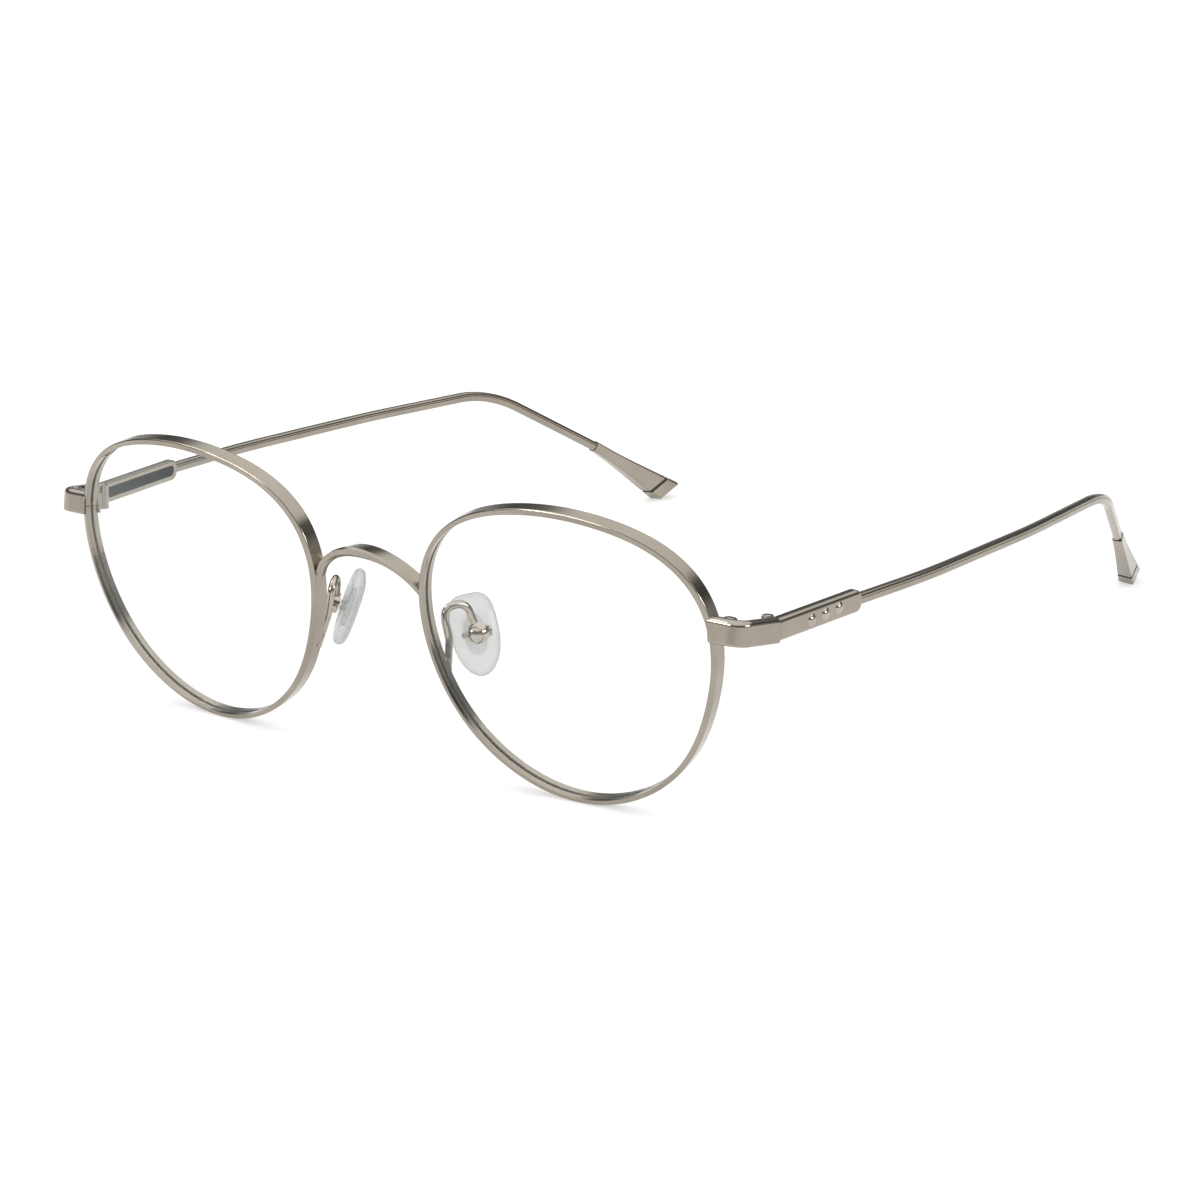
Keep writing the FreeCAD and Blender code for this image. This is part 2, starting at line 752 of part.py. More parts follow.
def slotted_screw(name, frame, shank, head, head_height, length):
    """A domed screw along the frame's Z with its head's seat at the origin."""
    body = new_body(name, frame)
    profile = new_sketch(body, name + "_profile", "XZ_Plane")
    radius = size(shank)
    outer = size(head)
    tall = size(head_height)
    deep = -size(length)
    rise = size("screw_crown") * tall
    chamfer = size("screw_chamfer")
    crown = [(outer, 0.0), (outer, tall - rise)]
    lines = [
        ((0.0, tall), (0.0, deep)),
        ((0.0, deep), (radius - chamfer, deep)),
        ((radius - chamfer, deep), (radius, deep + chamfer)),
        ((radius, deep + chamfer), (radius, 0.0)),
        ((radius, 0.0), crown[0]),
        (crown[0], crown[1]),
    ]
    for start, end in lines:
        profile.addGeometry(Part.LineSegment(Vector(*start, 0), Vector(*end, 0)))
    shoulder = Vector(outer, tall - rise, 0)
    on_dome = Vector(outer / 2, tall - rise + cap_height(outer, rise, outer / 2), 0)
    profile.addGeometry(Part.Arc(shoulder, on_dome, Vector(0, tall, 0)))
    revolve(body, name + "_turned", profile)
    slot = new_sketch(body, name + "_slot", "XY_Plane", tall)
    bound_rectangle(slot, "3 * Sizes.%s" % head, "Sizes.screw_slot")
    pocket(body, name + "_slotted", slot, "Sizes.screw_slot_depth", symmetric=False)
    return body


# ---- hinge -------------------------------------------------------------------------


def make_front_hinge(endpiece):
    stack = size("knuckle_stack")
    middle = size("middle_knuckle") + 2 * size("knuckle_play")
    leaf = block(
        "front_leaf",
        STRAP,
        (size("leaf_side"), size("leaf_start"), -size("leaf_height") / 2),
        ("Sizes.leaf_thickness", "Sizes.leaf_length", "Sizes.leaf_height"),
    )
    knuckles = cylinder(
        "front_knuckles", HINGE, "Sizes.knuckle_radius", "Sizes.knuckle_stack", -stack / 2
    )
    trimmed_leaf = cut("front_leaf_trimmed", leaf, rear_trim("leaf_rear"))
    blank = fuse("front_hinge_blank", trimmed_leaf, knuckles)
    gap = cylinder(
        "middle_gap",
        HINGE,
        "Sizes.knuckle_radius + Sizes.knuckle_relief",
        "Sizes.middle_knuckle + 2 * Sizes.knuckle_play",
        -middle / 2,
    )
    bore = through_bore(
        "front_hinge_bore", HINGE, "Sizes.hinge_screw_radius + Sizes.screw_play"
    )
    node("front_hinge", cut("front_hinge_left", blank, endpiece, gap, bore))


def tongue(name):
    return block(
        name,
        PLATE,
        (-size("tongue_setback"), 0.0, -size("tongue_height") / 2),
        ("Sizes.tongue_thickness", "Sizes.tongue_length", "Sizes.tongue_height"),
    )


def neck(name):
    """Joins the middle knuckle to the tongue."""
    return block(
        name,
        HINGE,
        (size("neck_side"), size("split_gap"), -size("middle_knuckle") / 2),
        ("Sizes.neck_width", "Sizes.neck_length", "Sizes.middle_knuckle"),
    )


def front_trim(name):
    """Everything ahead of the temple's front face."""
    return trim_ahead(name, HINGE, size("split_gap"))


def make_temple_hinge():
    knuckle = cylinder(
        "temple_knuckle",
        HINGE,
        "Sizes.knuckle_radius",
        "Sizes.middle_knuckle",
        -size("middle_knuckle") / 2,
    )
    trimmed_tongue = cut("tongue_trimmed", tongue("tongue"), front_trim("tongue_front"))
    blank = fuse("temple_hinge_blank", knuckle, neck("neck"), trimmed_tongue)
    bore = through_bore(
        "temple_hinge_bore", HINGE, "Sizes.hinge_screw_radius + Sizes.screw_play"
    )
    node("temple_hinge", cut("temple_hinge_left", blank, bore))


# ---- temple plate ------------------------------------------------------------------


def make_temple_plate():
    length = size("plate_length")
    thick = size("plate_thickness")
    half = size("plate_height") / 2
    body = new_body("plate_blank", PLATE)
    lead = size("plate_lead")
    plan = new_sketch(body, "plate_plan", "XY_Plane")
    closed_outline(plan, [(-thick, -lead), (0, -lead), (0, length), (-thick, length)])
    bar = pad(body, "plate_bar", plan, "Sizes.plate_height")

    def rear_corner(edge):
        middle = edge_middle(edge)
        return runs_along(edge, X_AXIS, 0.01) and abs(middle.y - length) < 0.01

    ends = body_fillet(body, "plate_ends", bar, rear_corner, "Sizes.plate_end_round")

    def top_outer(edge):
        middle = edge_middle(edge)
        return edge.Length > length / 2 and middle.x > -0.01 and middle.z > half - 0.01

    top = body_fillet(body, "plate_top", ends, top_outer, "Sizes.plate_top_round")

    def other_long(edge):
        middle = edge_middle(edge)
        low = middle.z < -half + 0.01
        inner = middle.x < -thick + 0.01
        return edge.Length > length / 2 and (low or (inner and middle.z > half - 0.01))

    body_fillet(body, "plate_edges", top, other_long, "Sizes.plate_edge_round")
    notch = through_bore("plate_notch", HINGE, "Sizes.knuckle_radius + Sizes.knuckle_relief")
    recess = inlay_slab("inlay_recess", 0.0)
    holes = rivet_shanks("rivet_hole", size("peg_play"))
    tools = [front_trim("plate_front"), notch, tongue("plate_slot"), neck("plate_neck_slot")]
    node("temple_plate", cut("temple_plate_left", body, *tools, recess, *holes))


def inlay_slab(name, sink):
    """The inlay's outline, a slot with round ends, from the recess floor outward."""
    half = size("inlay_height") / 2
    start = size("inlay_start")
    body = new_body(name, PLATE)
    side = new_sketch(body, name + "_side", "YZ_Plane", -size("plate_thickness") + sink)
    front = start + half
    rear = start + size("inlay_length") - half
    side.addGeometry(Part.LineSegment(Vector(front, -half, 0), Vector(rear, -half, 0)))
    rear_crown = Vector(rear + half, 0, 0)
    side.addGeometry(Part.Arc(Vector(rear, -half, 0), rear_crown, Vector(rear, half, 0)))
    side.addGeometry(Part.LineSegment(Vector(rear, half, 0), Vector(front, half, 0)))
    front_crown = Vector(front - half, 0, 0)
    side.addGeometry(Part.Arc(Vector(front, half, 0), front_crown, Vector(front, -half, 0)))
    pad(body, name + "_pad", side, "Sizes.inlay_depth - %.6f" % sink, symmetric=False)
    return body


def rivet_frames():
    """Each rivet's frame, with Z pointing out of the plate's outer face."""
    for number in range(3):
        back = size("rivet_first") + number * size("rivet_pitch")
        up = number * size("rivet_climb") - size("rivet_drop")
        yield PLATE * shift(0, back, up) * turn(Y_AXIS, 90)


def rivet_shanks(name, play):
    shanks = []
    for number, frame in enumerate(rivet_frames()):
        radius = "Sizes.rivet_shank + %.6f" % play
        shanks.append(
            cylinder("%s%d" % (name, number), frame, radius, "Sizes.rivet_depth", -size("rivet_depth"))
        )
    return shanks


def make_rivets():
    """Three domed rivets as one node of separate solids."""
    dome = size("rivet_dome")
    dome_radius = (size("rivet_radius") ** 2 + dome**2) / (2 * dome)
    reach = 2 * size("rivet_radius")
    rivets = []
    for number, (frame, shank) in enumerate(zip(rivet_frames(), rivet_shanks("rivet_shank", 0.0))):
        ball = doc.addObject("Part::Sphere", "rivet_ball%d" % number)
        ball.Radius = dome_radius
        ball.Placement = frame * shift(z=dome - dome_radius) * turn(X_AXIS, 90)
        above = block(
            "rivet_above%d" % number, frame, (-reach, -reach, 0), (2 * reach, 2 * reach, reach)
        )
        head = common("rivet_dome%d" % number, ball, above)
        rivets.append(fuse("rivet%d" % number, head, shank))
    group = doc.addObject("Part::Compound", "temple_rivets_left")
    group.Links = rivets
    node("temple_rivets", group)


# ---- temple wire and tip -----------------------------------------------------------


def make_temple_wire():
    path = curve_object(
        "wire_path",
        rounded_path(
            WIRE_CORNERS[:-1] + [WIRE_CORNERS[-1] + wire_end_direction()],
            [size("sweep_radius"), size("sweep_radius"), size("bend_radius")],
        ),
        HINGE,
    )
    start = WIRE_CORNERS[0]
    along = (WIRE_CORNERS[1] - start).normalize()
    across = along.cross(Z_AXIS).normalize()
    upward = across.cross(along)
    half_thick = size("wire_thickness") / 2
    half_high = size("wire_height") / 2
    corners = [
        start + across * (sx * half_thick) + upward * (sz * half_high)
        for sx, sz in ((-1, -1), (1, -1), (1, 1), (-1, 1))
    ]
    section = curve_object("wire_section", rounded_polygon(corners, size("wire_corner")), HINGE)
    bar = sweep("wire_bar", section, path)
    ahead = trim_ahead("wire_ahead", PLATE, size("plate_length"))
    behind = trim_behind("wire_behind", TIP, 0.0)
    node("temple_wire", cut("temple_wire_left", bar, ahead, behind))


def wire_end_direction():
    return (WIRE_CORNERS[-1] - WIRE_CORNERS[-2]).normalize()


# The tip's cross-sections, as (outward, up) corners, from its root to its end.
TIP_ROOT = [(-0.86, -0.92), (0.86, -1.0), (0.92, 0.7), (0.25, 1.0), (-0.86, 0.95)]
TIP_END = [(-1.5, -1.95), (1.35, -2.7), (1.95, 1.2), (-0.3, 2.6), (-1.4, 2.25)]
# How far along the tip each section lies, and how much of the flare it has.
TIP_FLARE = (
    (-0.5, 0.0),
    (4.0, 0.1),
    (8.0, 0.27),
    (12.0, 0.5),
    (16.5, 0.77),
    (20.5, 1.0),
    (24.0, 1.2),
)
# The section's corner radius at the root, and how much the flare adds to it.
TIP_CORNER = 0.22
TIP_CORNER_GROWTH = 0.1


def tip_blank(name, inset):
    """The flared tip as one loft, longer than the finished tip."""
    sections = []
    for number, (along, flare) in enumerate(TIP_FLARE):
        corners = []
        for (root_x, root_z), (end_x, end_z) in zip(TIP_ROOT, TIP_END):
            x = root_x + (end_x - root_x) * flare
            z = root_z + (end_z - root_z) * flare
            reach = math.hypot(x, z)
            keep = (reach - inset) / reach
            corners.append(Vector(x * keep, along, z * keep))
        wire = rounded_polygon(corners, TIP_CORNER + TIP_CORNER_GROWTH * flare)
        sections.append(curve_object("%s_section%d" % (name, number), wire, TIP))
    return loft(name, sections)


def tip_slab(name, start, end):
    """The slanted layer of the tip between two distances along its axis."""
    frame = TIP * shift(y=start) * turn(X_AXIS, -size("tip_slant"))
    thickness = (end - start) * math.cos(math.radians(size("tip_slant")))
    reach = 2 * size("trim_reach")
    return block(name, frame, (-reach, 0, -reach), (2 * reach, thickness, 2 * reach))


def make_tip():
    blank = tip_blank("tip_full", 0.0)
    small = tip_blank("tip_small", size("gasket_inset"))
    gasket_start = size("paddle_length")
    cap_start = gasket_start + size("gasket_length")
    cap_end = cap_start + size("cap_length")
    root = trim_ahead("tip_root", TIP, 0.0)
    rest = tip_slab("tip_rest", gasket_start, gasket_start + 2 * size("trim_reach"))
    peg_start = gasket_start - size("peg_bite")
    peg_length = size("peg_bite") + size("gasket_length") + size("peg_root")
    end_play = size("peg_end_play")
    peg_frame = TIP * shift(y=peg_start) * turn(X_AXIS, -90)
    bore = cylinder("peg_bore", peg_frame, "Sizes.peg_radius + Sizes.peg_play", "8", 0.0)
    node("temple_paddle", cut("temple_paddle_left", blank, root, rest, bore))
    gasket = common("gasket_blank", small, tip_slab("gasket_slab", gasket_start, cap_start))
    node("tip_gasket", cut("tip_gasket_left", gasket, bore))
    cap = common("cap_blank", blank, tip_slab("cap_slab", cap_start, cap_end))
    peg = cylinder("cap_peg", peg_frame, "Sizes.peg_radius", "%.6f" % peg_length, end_play)
    node("tip_cap", fuse("tip_cap_left", cap, peg))


# ---- nose pad group ----------------------------------------------------------------

# The pad arm's corners, level with the eye centre: rim, rise, loop, pad box.
ARM_CORNERS = [
    Vector(12.2, 5.1, -7.1),
    Vector(11.35, 6.7, -2.3),
    Vector(10.7, 6.6, 0.6),
    Vector(10.5, 6.9, 2.4),
    Vector(12.0, 9.9, 2.9),
    Vector(13.2, 10.9, -1.3),
]
ARM_BENDS = (4.0, 5.0, 1.5, 2.0)


def make_pad_box():
    """A domed cup, open towards the pad, bored for the pad screw."""
    outer = new_body("pad_box_blank", BOX)
    profile = new_sketch(outer, "pad_box_profile", "YZ_Plane")
    radius = size("cup_radius")
    lip = size("cup_lip")
    depth = size("cup_depth")
    shoulder = -depth / 2
    rise = depth + shoulder
    flat = size("cup_flat")
    crown = shoulder - cap_height(radius, rise, flat)
    for start, end in (
        ((crown, 0), (lip, 0)),
        ((lip, 0), (lip, radius)),
        ((lip, radius), (shoulder, radius)),
        ((crown, flat), (crown, 0)),
    ):
        profile.addGeometry(Part.LineSegment(Vector(*start, 0), Vector(*end, 0)))
    on_dome = Vector(shoulder - cap_height(radius, rise, radius / 2), radius / 2, 0)
    profile.addGeometry(Part.Arc(Vector(shoulder, radius, 0), on_dome, Vector(crown, flat, 0)))
    revolve(outer, "pad_box_turned", profile, "H_Axis")
    hollow_frame = BOX * shift(y=-size("cup_hollow")) * turn(X_AXIS, -90) * turn(Z_AXIS, 45)
    hollow = cylinder(
        "pad_box_hollow",
        hollow_frame,
        "Sizes.cup_radius - Sizes.cup_wall",
        "2 * Sizes.cup_radius",
        0.0,
    )
    bore = through_bore(
        "pad_box_bore", PAD_SCREW, "Sizes.pad_screw_radius + Sizes.screw_play"
    )
    node("pad_box", cut("pad_box_left", outer, hollow, bore))
    return outer


def make_pad_arm(eye_disc, pad_box_blank):
    path = curve_object("arm_path", rounded_path(ARM_CORNERS, ARM_BENDS), LEVEL)
    start = ARM_CORNERS[0]
    along = (ARM_CORNERS[1] - start).normalize()
    circle = Part.Wire(Part.Circle(start, along, size("arm_radius")).toShape())
    bar = sweep("arm_bar", curve_object("arm_section", circle, LEVEL), path)
    node("pad_arm", cut("pad_arm_left", bar, eye_disc, pad_box_blank))


def oval(sketch, half_width, half_length):
    """An ellipse about the pad's middle."""
    centre = Vector(0, -size("pad_drop"), 0)
    top = centre + Vector(0, half_length, 0)
    side = centre + Vector(half_width, 0, 0)
    sketch.addGeometry(Part.Ellipse(top, side, centre))


def make_pad_core():
    """The stiff insert: a plate inside the pad and the boss that the screw holds."""
    body = new_body("pad_core_blank", BOX)
    boss = new_sketch(body, "pad_boss_side", "YZ_Plane")
    bound_circle(boss, "Sizes.boss_radius")
    first = pad(body, "pad_boss", boss, "2 * Sizes.boss_half_width")
    doc.recompute()
    plate_back = size("pad_gap") + size("core_sink")
    neck_side = new_sketch(body, "pad_neck_side", "YZ_Plane")
    half = size("boss_half_neck")
    closed_outline(
        neck_side,
        [(0, -half), (plate_back + 0.1, -half), (plate_back + 0.1, half), (0, half)],
    )
    pad(body, "pad_neck", neck_side, "2 * Sizes.boss_half_width")
    plate = new_sketch(body, "pad_core_plan", "XZ_Plane", -plate_back)
    oval(plate, size("core_half_width"), size("core_half_length"))
    pad(body, "pad_core_plate", plate, "Sizes.core_thickness", symmetric=False, backward=True)
    bore = through_bore(
        "pad_core_bore", PAD_SCREW, "Sizes.pad_screw_radius + Sizes.screw_play"
    )
    core = cut("pad_core_left", body, bore)
    node("pad_core", core)
    return core


def make_nose_pad(core):
    """A soft oval pad moulded round the core's plate."""
    body = new_body("nose_pad_blank", BOX)
    plan = new_sketch(body, "nose_pad_plan", "XZ_Plane", -size("pad_gap"))
    oval(plan, size("pad_half_width"), size("pad_half_length"))
    blank = pad(body, "nose_pad_slab", plan, "Sizes.pad_thickness", symmetric=False, backward=True)
    body_fillet(
        body,
        "nose_pad_round",
        blank,
        lambda edge: edge.Length > 2 * size("pad_half_length"),
        "Sizes.pad_round",
    )
    node("nose_pad", cut("nose_pad_left", body, core))


# ---- mirrored twins and output -----------------------------------------------------


def mirror(name, source):
    twin = doc.addObject("Part::Mirroring", name)
    twin.Source = source
    twin.Normal = X_AXIS
    twin.Base = Vector()
    return twin


def check_document():
    for obj in doc.Objects:
        if "Invalid" in obj.State or "Error" in obj.State:
            raise RuntimeError("%s did not recompute: %s" % (obj.Name, obj.State))


def write_parts(pieces):
    os.makedirs("parts", exist_ok=True)
    for piece in pieces:
        shape = piece.Shape
        if shape.isNull() or not shape.isValid():
            raise RuntimeError("%s has no valid shape" % piece.Label)
        shape.exportStep("parts/%s.step" % piece.Label)
        box = shape.BoundBox
        print(
            "%-22s solids %d  volume %9.3f  x %7.2f %7.2f  y %7.2f %7.2f  z %6.2f %6.2f"
            % (
                piece.Label,
                len(shape.Solids),
                shape.Volume,
                box.XMin,
                box.XMax,
                box.YMin,
                box.YMax,
                box.ZMin,
                box.ZMax,
            )
        )


RIM_SCREW = STRAP * shift(
    size("rim_screw_side"),
    size("rim_screw_back"),
    size("lock_split") + size("lock_half_gap") + size("lock_upper_height"),
)
HINGE_SCREW = HINGE * shift(z=size("knuckle_stack") / 2)
PAD_SCREW = BOX * shift(size("cup_radius")) * turn(Y_AXIS, 90)


def build():
    eye_outline, eye_disc = make_eye_tools()
    make_rim(eye_disc)
    make_lens()
    bridge = make_bridge(eye_outline)
    make_endpiece(eye_disc)
    make_rim_lock(eye_disc, left_nodes["endpiece"])
    node(
        "rim_screw",
        slotted_screw(
            "rim_screw_left",
            RIM_SCREW,
            "rim_screw_radius",
            "rim_screw_head",
            "rim_screw_head_height",
            "rim_screw_length",
        ),
    )
    make_front_hinge(left_nodes["endpiece"])
    node(
        "hinge_screw",
        slotted_screw(
            "hinge_screw_left",
            HINGE_SCREW,
            "hinge_screw_radius",
            "hinge_screw_head",
            "hinge_screw_head_height",
            "knuckle_stack",
        ),
    )
    make_temple_hinge()
    make_temple_plate()
    inlay = inlay_slab("temple_inlay_left", size("inlay_sink"))
    node("temple_inlay", inlay)
    make_rivets()
    make_temple_wire()
    make_tip()
    pad_box_blank = make_pad_box()
    make_pad_arm(eye_disc, pad_box_blank)
    node(
        "pad_screw",
        slotted_screw(
            "pad_screw_left",
            PAD_SCREW,
            "pad_screw_radius",
            "pad_screw_head",
            "pad_screw_head_height",
            "pad_screw_reach",
        ),
    )
    core = make_pad_core()
    make_nose_pad(core)
    pieces = [bridge]
    for name, left in left_nodes.items():
        right = mirror(name + "_right", left)
        right.Label = name + "_right"
        pieces += [left, right]
    doc.recompute()
    check_document()
    write_parts(pieces)


build()
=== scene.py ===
"""Round wire eyeglasses: looks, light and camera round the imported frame. Metres."""
import json
import math

import bpy
from mathutils import Matrix, Vector


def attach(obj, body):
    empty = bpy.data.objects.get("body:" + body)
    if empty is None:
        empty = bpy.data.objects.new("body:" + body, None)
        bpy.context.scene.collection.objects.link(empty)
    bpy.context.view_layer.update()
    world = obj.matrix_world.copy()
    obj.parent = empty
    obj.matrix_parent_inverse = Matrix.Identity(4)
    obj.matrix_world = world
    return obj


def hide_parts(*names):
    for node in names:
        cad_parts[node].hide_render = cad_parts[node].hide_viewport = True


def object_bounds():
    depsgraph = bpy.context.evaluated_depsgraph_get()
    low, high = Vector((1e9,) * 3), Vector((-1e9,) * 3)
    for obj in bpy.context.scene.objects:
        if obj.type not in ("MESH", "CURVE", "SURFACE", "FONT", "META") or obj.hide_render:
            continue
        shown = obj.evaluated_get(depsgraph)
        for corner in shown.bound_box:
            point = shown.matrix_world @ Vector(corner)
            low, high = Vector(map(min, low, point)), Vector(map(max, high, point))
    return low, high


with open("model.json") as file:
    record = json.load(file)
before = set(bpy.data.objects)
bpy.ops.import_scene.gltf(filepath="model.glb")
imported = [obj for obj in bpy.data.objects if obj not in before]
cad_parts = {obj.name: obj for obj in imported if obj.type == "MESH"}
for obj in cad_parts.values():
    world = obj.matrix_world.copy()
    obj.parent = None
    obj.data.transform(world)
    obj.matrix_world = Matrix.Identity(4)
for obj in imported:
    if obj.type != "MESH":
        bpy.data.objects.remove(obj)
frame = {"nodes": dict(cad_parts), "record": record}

cad_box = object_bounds()
nodes = frame["nodes"]
MM = 0.001

# ---- materials ---------------------------------------------------------------------

# Noise scales are in cycles per metre, lengths in metres.
DRIFT_SCALE = 90.0
DRIFT_LOW = 0.35
DRIFT_HIGH = 0.65
RELIEF_DEPTH = 0.00002
EDGE_BLEND = 0.35
ROUGHNESS_SPREAD = 0.06


def new_material(name):
    """A new Principled material: the material, its node tree and its shader."""
    material = bpy.data.materials.new(name)
    material.use_nodes = True
    tree = material.node_tree
    shader = tree.nodes["Principled BSDF"]
    return material, tree, shader


def add_node(tree, kind, **inputs):
    """A node with some of its inputs set."""
    made = tree.nodes.new(kind)
    for key, setting in inputs.items():
        made.inputs[key.replace("_", " ")].default_value = setting
    return made


def metal(name, light, dark, rough_low, rough_high, grain, bump):
    """Plated metal: slow colour drift, fine brushed grain in the roughness and the surface."""
    material, tree, shader = new_material(name)
    links = tree.links
    place = tree.nodes.new("ShaderNodeTexCoord")
    drift = add_node(tree, "ShaderNodeTexNoise", Scale=DRIFT_SCALE, Detail=3.0)
    links.new(place.outputs["Object"], drift.inputs["Vector"])
    ramp = tree.nodes.new("ShaderNodeValToRGB")
    ramp.color_ramp.elements[0].position = DRIFT_LOW
    ramp.color_ramp.elements[0].color = (*dark, 1)
    ramp.color_ramp.elements[1].position = DRIFT_HIGH
    ramp.color_ramp.elements[1].color = (*light, 1)
    links.new(drift.outputs["Fac"], ramp.inputs["Fac"])
    links.new(ramp.outputs["Color"], shader.inputs["Base Color"])
    fine = add_node(tree, "ShaderNodeTexNoise", Scale=grain, Detail=4.0)
    links.new(place.outputs["Object"], fine.inputs["Vector"])
    spread = tree.nodes.new("ShaderNodeMapRange")
    spread.inputs["To Min"].default_value = rough_low
    spread.inputs["To Max"].default_value = rough_high
    links.new(fine.outputs["Fac"], spread.inputs["Value"])
    links.new(spread.outputs["Result"], shader.inputs["Roughness"])
    relief = add_node(tree, "ShaderNodeBump", Strength=bump, Distance=RELIEF_DEPTH)
    links.new(fine.outputs["Fac"], relief.inputs["Height"])
    links.new(relief.outputs["Normal"], shader.inputs["Normal"])
    shader.inputs["Metallic"].default_value = 1.0
    return material


satin = metal(
    "satin_nickel", (0.35, 0.315, 0.263), (0.30, 0.267, 0.222), 0.12, 0.19, 4000.0, 0.10
)
polished = metal("polished_nickel", (0.44, 0.40, 0.34), (0.39, 0.35, 0.30), 0.07, 0.12, 3000.0, 0.03)
steel = metal("screw_steel", (0.40, 0.37, 0.33), (0.33, 0.30, 0.27), 0.15, 0.24, 5000.0, 0.15)


def clear_shell(name, colour, rough, low, high):
    """A clear solid that shows mostly at its grazing edges."""
    material, tree, shader = new_material(name)
    links = tree.links
    shader.inputs["Base Color"].default_value = (*colour, 1)
    shader.inputs["Roughness"].default_value = rough
    edge = add_node(tree, "ShaderNodeLayerWeight", Blend=EDGE_BLEND)
    spread = tree.nodes.new("ShaderNodeMapRange")
    spread.inputs["To Min"].default_value = low
    spread.inputs["To Max"].default_value = high
    links.new(edge.outputs["Facing"], spread.inputs["Value"])
    links.new(spread.outputs["Result"], shader.inputs["Alpha"])
    return material


lens_clear = clear_shell("lens_clear", (0.75, 0.80, 0.78), 0.03, 0.0, 0.16)
silicone = clear_shell("clear_silicone", (0.42, 0.435, 0.42), 0.22, 0.34, 0.95)
insert = clear_shell("clear_insert", (0.42, 0.435, 0.42), 0.3, 0.12, 0.60)


def plain(name, colour, rough, grain):
    """A dark even finish with fine grain in its roughness."""
    material, tree, shader = new_material(name)
    links = tree.links
    place = tree.nodes.new("ShaderNodeTexCoord")
    fine = add_node(tree, "ShaderNodeTexNoise", Scale=grain, Detail=3.0)
    links.new(place.outputs["Object"], fine.inputs["Vector"])
    spread = tree.nodes.new("ShaderNodeMapRange")
    spread.inputs["To Min"].default_value = rough - ROUGHNESS_SPREAD
    spread.inputs["To Max"].default_value = rough + ROUGHNESS_SPREAD
    links.new(fine.outputs["Fac"], spread.inputs["Value"])
    links.new(spread.outputs["Result"], shader.inputs["Roughness"])
    shader.inputs["Base Color"].default_value = (*colour, 1)
    return material


enamel = plain("dark_enamel", (0.018, 0.020, 0.022), 0.50, 2000.0)
enamel_shader = enamel.node_tree.nodes["Principled BSDF"]
enamel_shader.inputs["Specular IOR Level"].default_value = 0.05
resin = plain("black_resin", (0.012, 0.012, 0.012), 0.45, 3000.0)

FINISH = {
    "satin_metal": satin,
    "polished_metal": polished,
    "screw_steel": steel,
    "lens": lens_clear,
    "silicone": silicone,
    "pad_insert": insert,
    "dark_enamel": enamel,
    "black_resin": resin,
}
for entry in frame["record"]["subparts"]:
    piece = nodes[entry["node"]]
    piece.data.materials.clear()
    piece.data.materials.append(FINISH[entry["material_slot"]])

# ---- pieces that stand for CAD nodes -----------------------------------------------

JOINTS = {joint["name"]: joint for joint in frame["record"]["behaviour"]["joints"]}


def turned(axis, degrees):
    return Matrix.Rotation(math.radians(degrees), 4, axis)


def new_piece(name, points, faces, finish, body, slot_name, *replaced):
    """A smooth mesh piece from points in metres."""
    mesh = bpy.data.meshes.new(name)
    mesh.from_pydata(points, [], faces)
    mesh.validate()
    mesh.update()
    for face in mesh.polygons:
        face.use_smooth = True
    mesh.materials.append(finish)
    piece = bpy.data.objects.new(name, mesh)
    bpy.context.scene.collection.objects.link(piece)
    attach(piece, body)
    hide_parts(*replaced)
    return piece


def mirrored(points, faces):
    """The same mesh on the other side of X = 0."""
    return [Vector((-p.x, p.y, p.z)) for p in points], [tuple(reversed(face)) for face in faces]


# Nose pad, in mm in the pad box's frame: X is the screw, Y looks at the nose, Z runs up the pad.
PAD_TURN = 48.0
PAD_TIP = 19.0
PAD_LEAN = 8.0
PAD_HALF_WIDTH = 3.7
PAD_UP = 6.0
PAD_DOWN = 6.4
PAD_TOP_SQUARENESS = 3.3
PAD_LOW_SQUARENESS = 2.0
PAD_BACK = 1.35
PAD_FRONT = 3.5
PAD_STEPS = 96
# The pad's profile from the middle of its back to the middle of its front, as
# (share of the outline, share of the thickness).
PAD_PROFILE = (
    (0.02, 0.10), (0.30, 0.10), (0.34, 0.05), (0.50, 0.05), (0.54, 0.00), (0.72, 0.00),
    (0.75, 0.05), (0.86, 0.07), (0.92, 0.13), (0.97, 0.26), (1.00, 0.48), (0.98, 0.70),
    (0.93, 0.86), (0.84, 0.95), (0.70, 0.99), (0.50, 1.00), (0.25, 1.00), (0.02, 1.00),
)


def pad_outline(angle):
    """The pad's edge at an angle, squarer at the top than at the bottom."""
    across, up = math.cos(angle), math.sin(angle)
    power = PAD_TOP_SQUARENESS if up > 0 else PAD_LOW_SQUARENESS
    length = PAD_UP if up > 0 else PAD_DOWN
    width = math.copysign(abs(across) ** (2 / power), across) * PAD_HALF_WIDTH
    return width, math.copysign(abs(up) ** (2 / power), up) * length


def pad_mesh():
    """The pad's rings of points from its back to its front, with a cap at each end."""
    points = []
    for share, depth in PAD_PROFILE:
        for step in range(PAD_STEPS):
            width, height = pad_outline(2 * math.pi * step / PAD_STEPS)
            back = PAD_BACK + depth * (PAD_FRONT - PAD_BACK)
            points.append(Vector((width * share, back, height * share)))
    faces = ring_faces(len(PAD_PROFILE), PAD_STEPS)
    last = (len(PAD_PROFILE) - 1) * PAD_STEPS
    faces.append(tuple(reversed(range(PAD_STEPS))))
    faces.append(tuple(range(last, last + PAD_STEPS)))
    return points, faces


def ring_faces(rings, steps):
    """Quads between one ring of points and the next."""
    faces = []
    for ring in range(rings - 1):
        for step in range(steps):
            here = ring * steps + step
            beside = ring * steps + (step + 1) % steps
            faces.append((here, beside, beside + steps, here + steps))
    return faces


